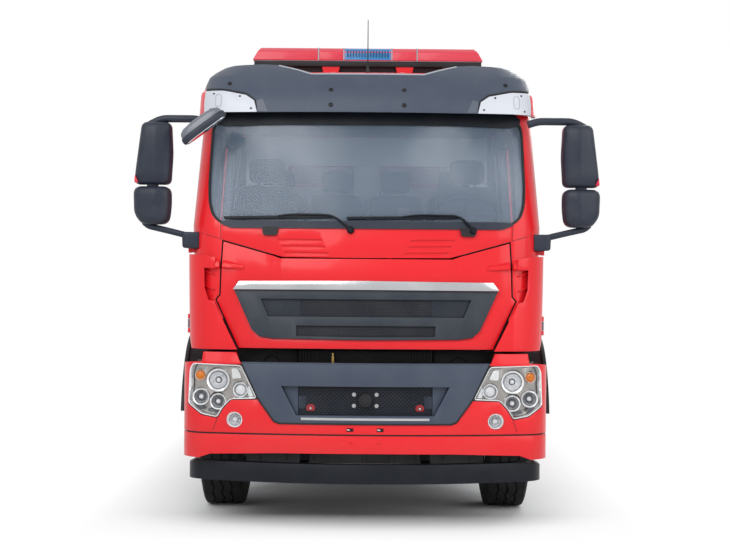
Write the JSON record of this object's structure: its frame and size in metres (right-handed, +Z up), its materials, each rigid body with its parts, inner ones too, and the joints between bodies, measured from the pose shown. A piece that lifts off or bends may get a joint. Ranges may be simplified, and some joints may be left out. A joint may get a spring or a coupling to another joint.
{
  "type": "airport fire truck",
  "caption": "Cab-over crew-cab airport fire truck with a locker body behind roller shutters, a roof water monitor, a warning bar, opening doors and front hatch, and steered wheels.",
  "frame": {"origin": "on the ground under the middle of the truck's length", "axes": "-Y towards the truck's front, +X towards its left (driver's) side, +Z up"},
  "size_m": [3.084, 8.3019, 3.442],
  "materials": {
    "red_paint": "gloss",
    "black_steel": "satin",
    "grey_steel": "satin",
    "cast_block": "matte",
    "bright_steel": "satin",
    "bright_alloy": "satin",
    "wheel_steel": "satin",
    "dark_plastic": "matte",
    "black_plastic": "matte",
    "lamp_housing": "gloss",
    "lens_plastic": "gloss",
    "floor_rubber": "matte",
    "tyre": "matte",
    "seat_fabric": "matte",
    "clear_glass": "gloss",
    "mirror_glass": "gloss"
  },
  "bodies": {
    "chassis": {"chassis_frame": "black_steel", "driveline": "cast_block", "front_axle": "black_steel", "rear_axle": "black_steel", "leaf_springs": "black_steel", "frame_side_gear": "bright_steel", "underrun_bar": "grey_steel", "bumper": "red_paint", "bumper_insert": "dark_plastic", "headlamps": "lamp_housing", "front_mudguards": "black_plastic", "cab_steps": "bright_alloy", "cab_floor": "floor_rubber", "cab_sides": "red_paint", "cab_front": "red_paint", "cab_rear_wall": "red_paint", "cab_roof": "red_paint", "cab_glass": "clear_glass", "corner_deflectors": "red_paint", "sun_visor": "dark_plastic", "light_bar_base": "black_plastic", "light_bar_lenses": "lens_plastic", "side_mirrors": "black_plastic", "mirror_glasses": "mirror_glass", "wipers": "black_plastic", "dashboard": "dark_plastic", "steering_wheel": "black_plastic", "seats": "seat_fabric", "body_sides": "red_paint", "body_decks": "bright_alloy", "shutters": "bright_alloy", "lower_lockers": "red_paint", "roof_gear": "bright_alloy", "rear_bumper": "red_paint", "body_lamps": "lens_plastic", "rear_couplings": "bright_steel"},
    "knuckle_left": {"knuckle_left": "black_steel"},
    "knuckle_right": {"knuckle_right": "black_steel"},
    "wheel_front_left": {"tyre_front_left": "tyre", "rim_front_left": "wheel_steel"},
    "wheel_front_right": {"tyre_front_right": "tyre", "rim_front_right": "wheel_steel"},
    "wheels_rear_left": {"tyres_rear_left": "tyre", "rim_rear_left": "wheel_steel"},
    "wheels_rear_right": {"tyres_rear_right": "tyre", "rim_rear_right": "wheel_steel"},
    "door_front_left": {"door_front_left": "red_paint", "glass_front_left": "clear_glass"},
    "door_front_right": {"door_front_right": "red_paint", "glass_front_right": "clear_glass"},
    "door_rear_left": {"door_rear_left": "red_paint", "glass_rear_left": "clear_glass"},
    "door_rear_right": {"door_rear_right": "red_paint", "glass_rear_right": "clear_glass"},
    "front_hatch": {"front_hatch": "red_paint", "hatch_grille": "dark_plastic"},
    "monitor_turret": {"monitor_turret": "red_paint"},
    "monitor_barrel": {"monitor_barrel": "bright_alloy"}
  },
  "joints": [
    {"name": "steer_left", "type": "hinge", "parent": "chassis", "child": "knuckle_left", "pos_m": [0.87, -2.75, 0.53], "axis": [0, 0, 1], "range_deg": [-35, 35]},
    {"name": "steer_right", "type": "hinge", "parent": "chassis", "child": "knuckle_right", "pos_m": [-0.87, -2.75, 0.53], "axis": [0, 0, 1], "range_deg": [-35, 35]},
    {"name": "roll_front_left", "type": "hinge", "parent": "knuckle_left", "child": "wheel_front_left", "pos_m": [1, -2.75, 0.53], "axis": [1, 0, 0], "continuous": true},
    {"name": "roll_front_right", "type": "hinge", "parent": "knuckle_right", "child": "wheel_front_right", "pos_m": [-1, -2.75, 0.53], "axis": [1, 0, 0], "continuous": true},
    {"name": "roll_rear_left", "type": "hinge", "parent": "chassis", "child": "wheels_rear_left", "pos_m": [0.925, 1.95, 0.53], "axis": [1, 0, 0], "continuous": true},
    {"name": "roll_rear_right", "type": "hinge", "parent": "chassis", "child": "wheels_rear_right", "pos_m": [-0.925, 1.95, 0.53], "axis": [1, 0, 0], "continuous": true},
    {"name": "swing_door_front_left", "type": "hinge", "parent": "chassis", "child": "door_front_left", "pos_m": [1.17, -3.733, 1.6], "axis": [0, 0, -1], "range_deg": [0, 70]},
    {"name": "swing_door_front_right", "type": "hinge", "parent": "chassis", "child": "door_front_right", "pos_m": [-1.17, -3.733, 1.6], "axis": [0, 0, 1], "range_deg": [0, 70]},
    {"name": "swing_door_rear_left", "type": "hinge", "parent": "chassis", "child": "door_rear_left", "pos_m": [1.17, -2.567, 1.6], "axis": [0, 0, -1], "range_deg": [0, 70]},
    {"name": "swing_door_rear_right", "type": "hinge", "parent": "chassis", "child": "door_rear_right", "pos_m": [-1.17, -2.567, 1.6], "axis": [0, 0, 1], "range_deg": [0, 70]},
    {"name": "lift_front_hatch", "type": "hinge", "parent": "chassis", "child": "front_hatch", "pos_m": [0, -3.938, 1.93], "axis": [-1, 0, 0], "range_deg": [0, 70]},
    {"name": "turn_monitor", "type": "hinge", "parent": "chassis", "child": "monitor_turret", "pos_m": [0, -0.45, 3.23], "axis": [0, 0, 1], "range_deg": [-170, 170]},
    {"name": "pitch_monitor", "type": "hinge", "parent": "monitor_turret", "child": "monitor_barrel", "pos_m": [0, -0.45, 3.38], "axis": [-1, 0, 0], "range_deg": [-15, 70]}
  ],
  "couplings": [
    {"joint": "steer_right", "follows": "steer_left", "ratio": 1}
  ]
}
